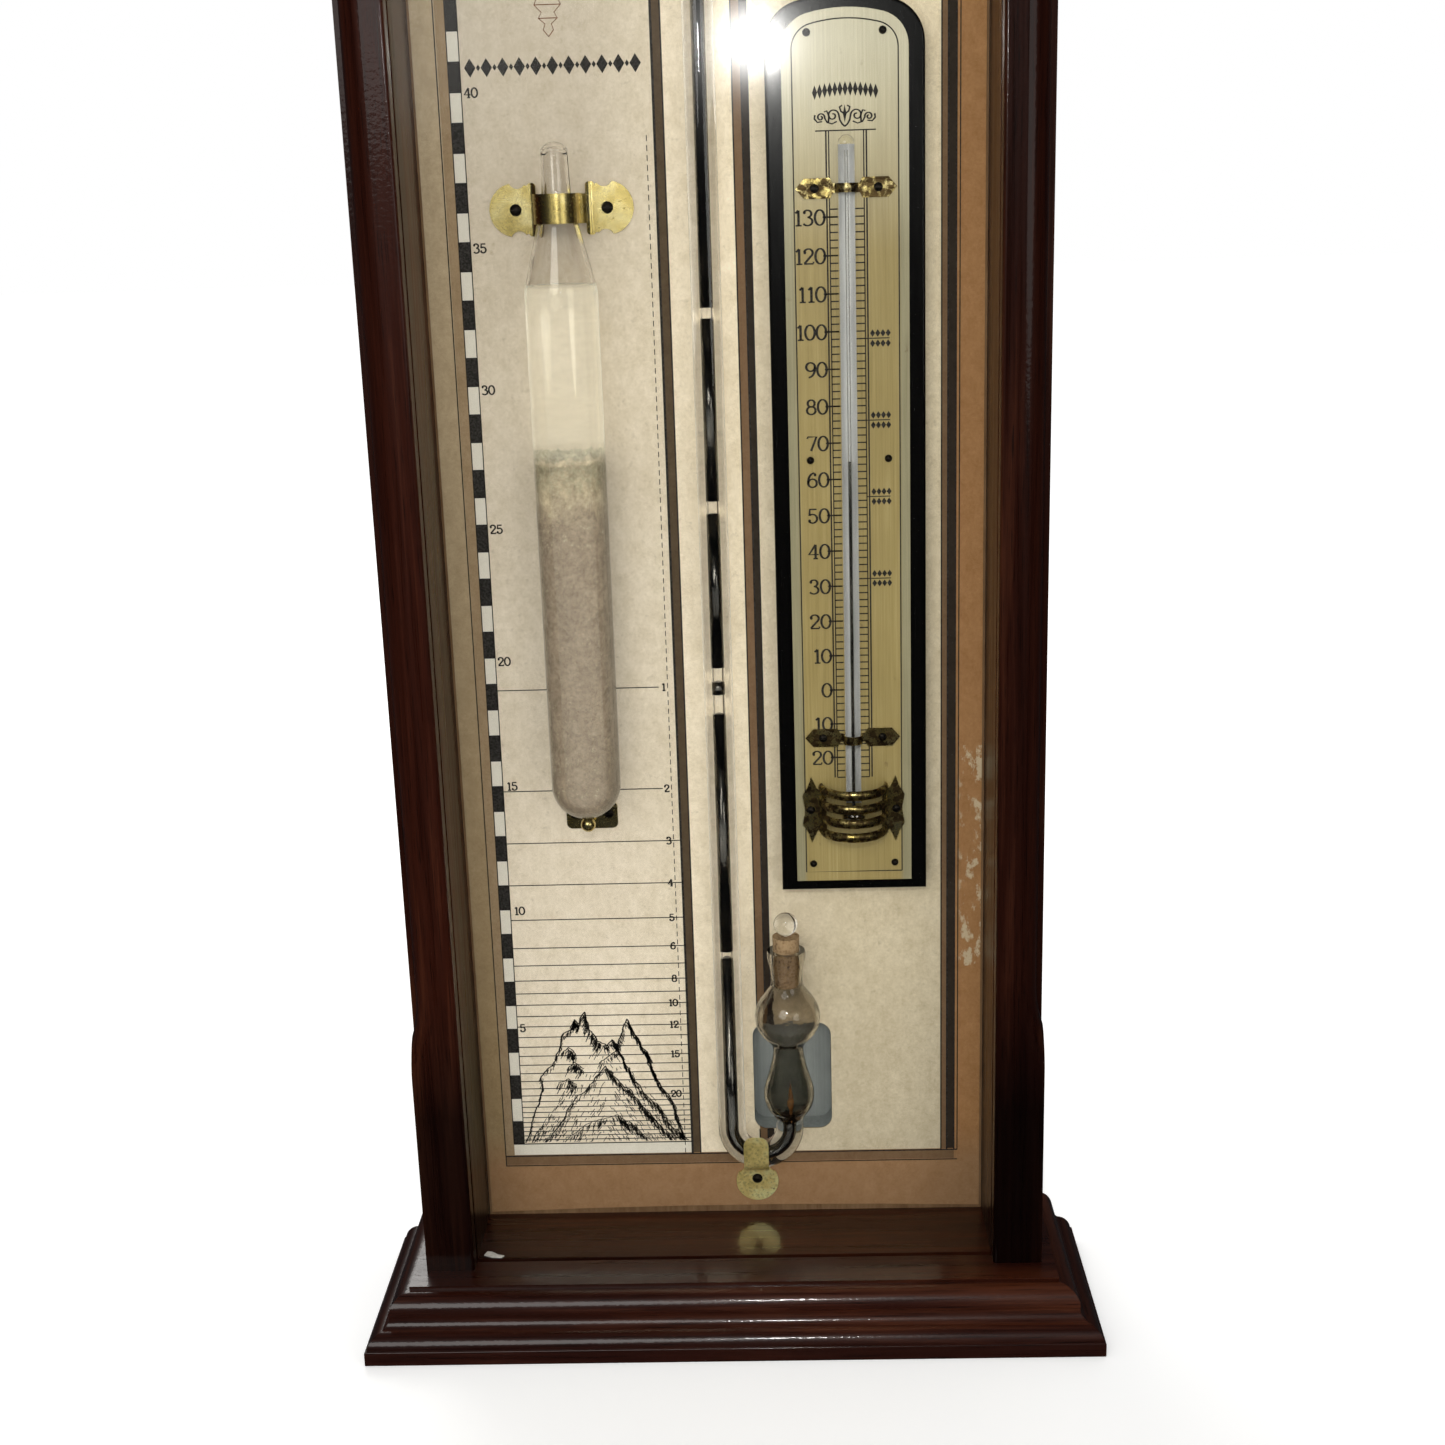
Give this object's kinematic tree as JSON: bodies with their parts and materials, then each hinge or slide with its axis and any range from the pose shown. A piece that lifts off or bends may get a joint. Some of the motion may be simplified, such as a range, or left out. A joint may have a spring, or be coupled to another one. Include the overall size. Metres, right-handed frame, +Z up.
{
  "type": "storm glass weather instrument",
  "caption": "Glazed wooden wall case holding a sealed storm bottle, a siphon mercury barometer with sliding setting pointers and a thermometer on a printed chart.",
  "frame": {"origin": "middle of the plinth's underside", "axes": "+Z up the case, +Y into the wall, +X to the viewer's right"},
  "size_m": [0.2672, 0.0794, 0.975],
  "materials": {
    "mahogany": "glossy varnish",
    "board_wood": "plain",
    "printed_paper": "matt, aged",
    "clear_glass": "clear",
    "storm_liquid": "clear alcohol solution",
    "camphor_crystals": "feathery crystal mass",
    "mercury": "liquid metal",
    "cork": "cork",
    "polished_brass": "polished",
    "aged_brass": "tarnished",
    "dark_steel": "blackened",
    "ebonised_wood": "ebonised, satin",
    "ivorine": "grained, yellowed"
  },
  "bodies": {
    "case": {"arbor_brackets": "polished_brass", "arbor_bushes": "polished_brass", "back_panel": "board_wood", "back_panel_pins": "dark_steel", "base_board": "mahogany", "bracket_screws": "dark_steel", "bulb_guard": "aged_brass", "card_pins": "dark_steel", "case_screws": "dark_steel", "chart_board": "board_wood", "chart_sheet": "printed_paper", "cornice_front_moulding": "mahogany", "cornice_left_moulding": "mahogany", "cornice_right_moulding": "mahogany", "front_glass": "clear_glass", "guide_rod_brackets": "polished_brass", "guide_rods": "polished_brass", "hanging_plate": "polished_brass", "hanging_plate_screws": "dark_steel", "left_post": "mahogany", "left_scale_card": "printed_paper", "mercury_column": "mercury", "pediment": "mahogany", "plinth_front_moulding": "mahogany", "plinth_left_moulding": "mahogany", "plinth_right_moulding": "mahogany", "right_post": "mahogany", "right_scale_card": "printed_paper", "siphon_bottom_clip": "polished_brass", "siphon_clip_screws": "dark_steel", "siphon_tube": "clear_glass", "storm_bottle": "clear_glass", "storm_bracket": "polished_brass", "storm_bracket_screws": "dark_steel", "storm_clip": "polished_brass", "storm_clip_screws": "dark_steel", "storm_crystals": "camphor_crystals", "storm_liquid": "storm_liquid", "thermometer_board": "ebonised_wood", "thermometer_lower_strap": "aged_brass", "thermometer_mercury": "mercury", "thermometer_pins": "dark_steel", "thermometer_scale": "ivorine", "thermometer_screws": "dark_steel", "thermometer_tube": "clear_glass", "thermometer_upper_strap": "aged_brass", "top_board": "mahogany", "tube_clips": "polished_brass"},
    "right_setting": {"right_pinion_arbor": "polished_brass", "right_setting_knob": "polished_brass"},
    "left_setting": {"left_pinion_arbor": "polished_brass", "left_setting_knob": "polished_brass"},
    "right_index": {"right_pointer": "polished_brass"},
    "left_index": {"left_pointer": "polished_brass"},
    "stopper": {"cistern_cork": "cork", "ball_stopper": "clear_glass"}
  },
  "joints": [
    {"name": "right_knob_turn", "type": "hinge", "parent": "case", "child": "right_setting", "pos_m": [0.1137, 0.0091, 0.747], "axis": [1, 0, 0], "range_deg": [-462.2, 462.2]},
    {"name": "right_pointer_slide", "type": "slide", "parent": "case", "child": "right_index", "axis": [0, 0, 1], "range_m": [-0.0508, 0.0508]},
    {"name": "left_knob_turn", "type": "hinge", "parent": "case", "child": "left_setting", "pos_m": [-0.1137, 0.0091, 0.747], "axis": [-1, 0, 0], "range_deg": [-462.2, 462.2]},
    {"name": "left_pointer_slide", "type": "slide", "parent": "case", "child": "left_index", "axis": [0, 0, 1], "range_m": [-0.0508, 0.0508]},
    {"name": "stopper_lift", "type": "slide", "parent": "case", "child": "stopper", "axis": [0, 0, 1], "range_m": [0, 0.016]}
  ],
  "couplings": [
    {"joint": "right_knob_turn", "follows": "right_pointer_slide", "rad_per_m": 158.73},
    {"joint": "left_knob_turn", "follows": "left_pointer_slide", "rad_per_m": -158.73}
  ]
}
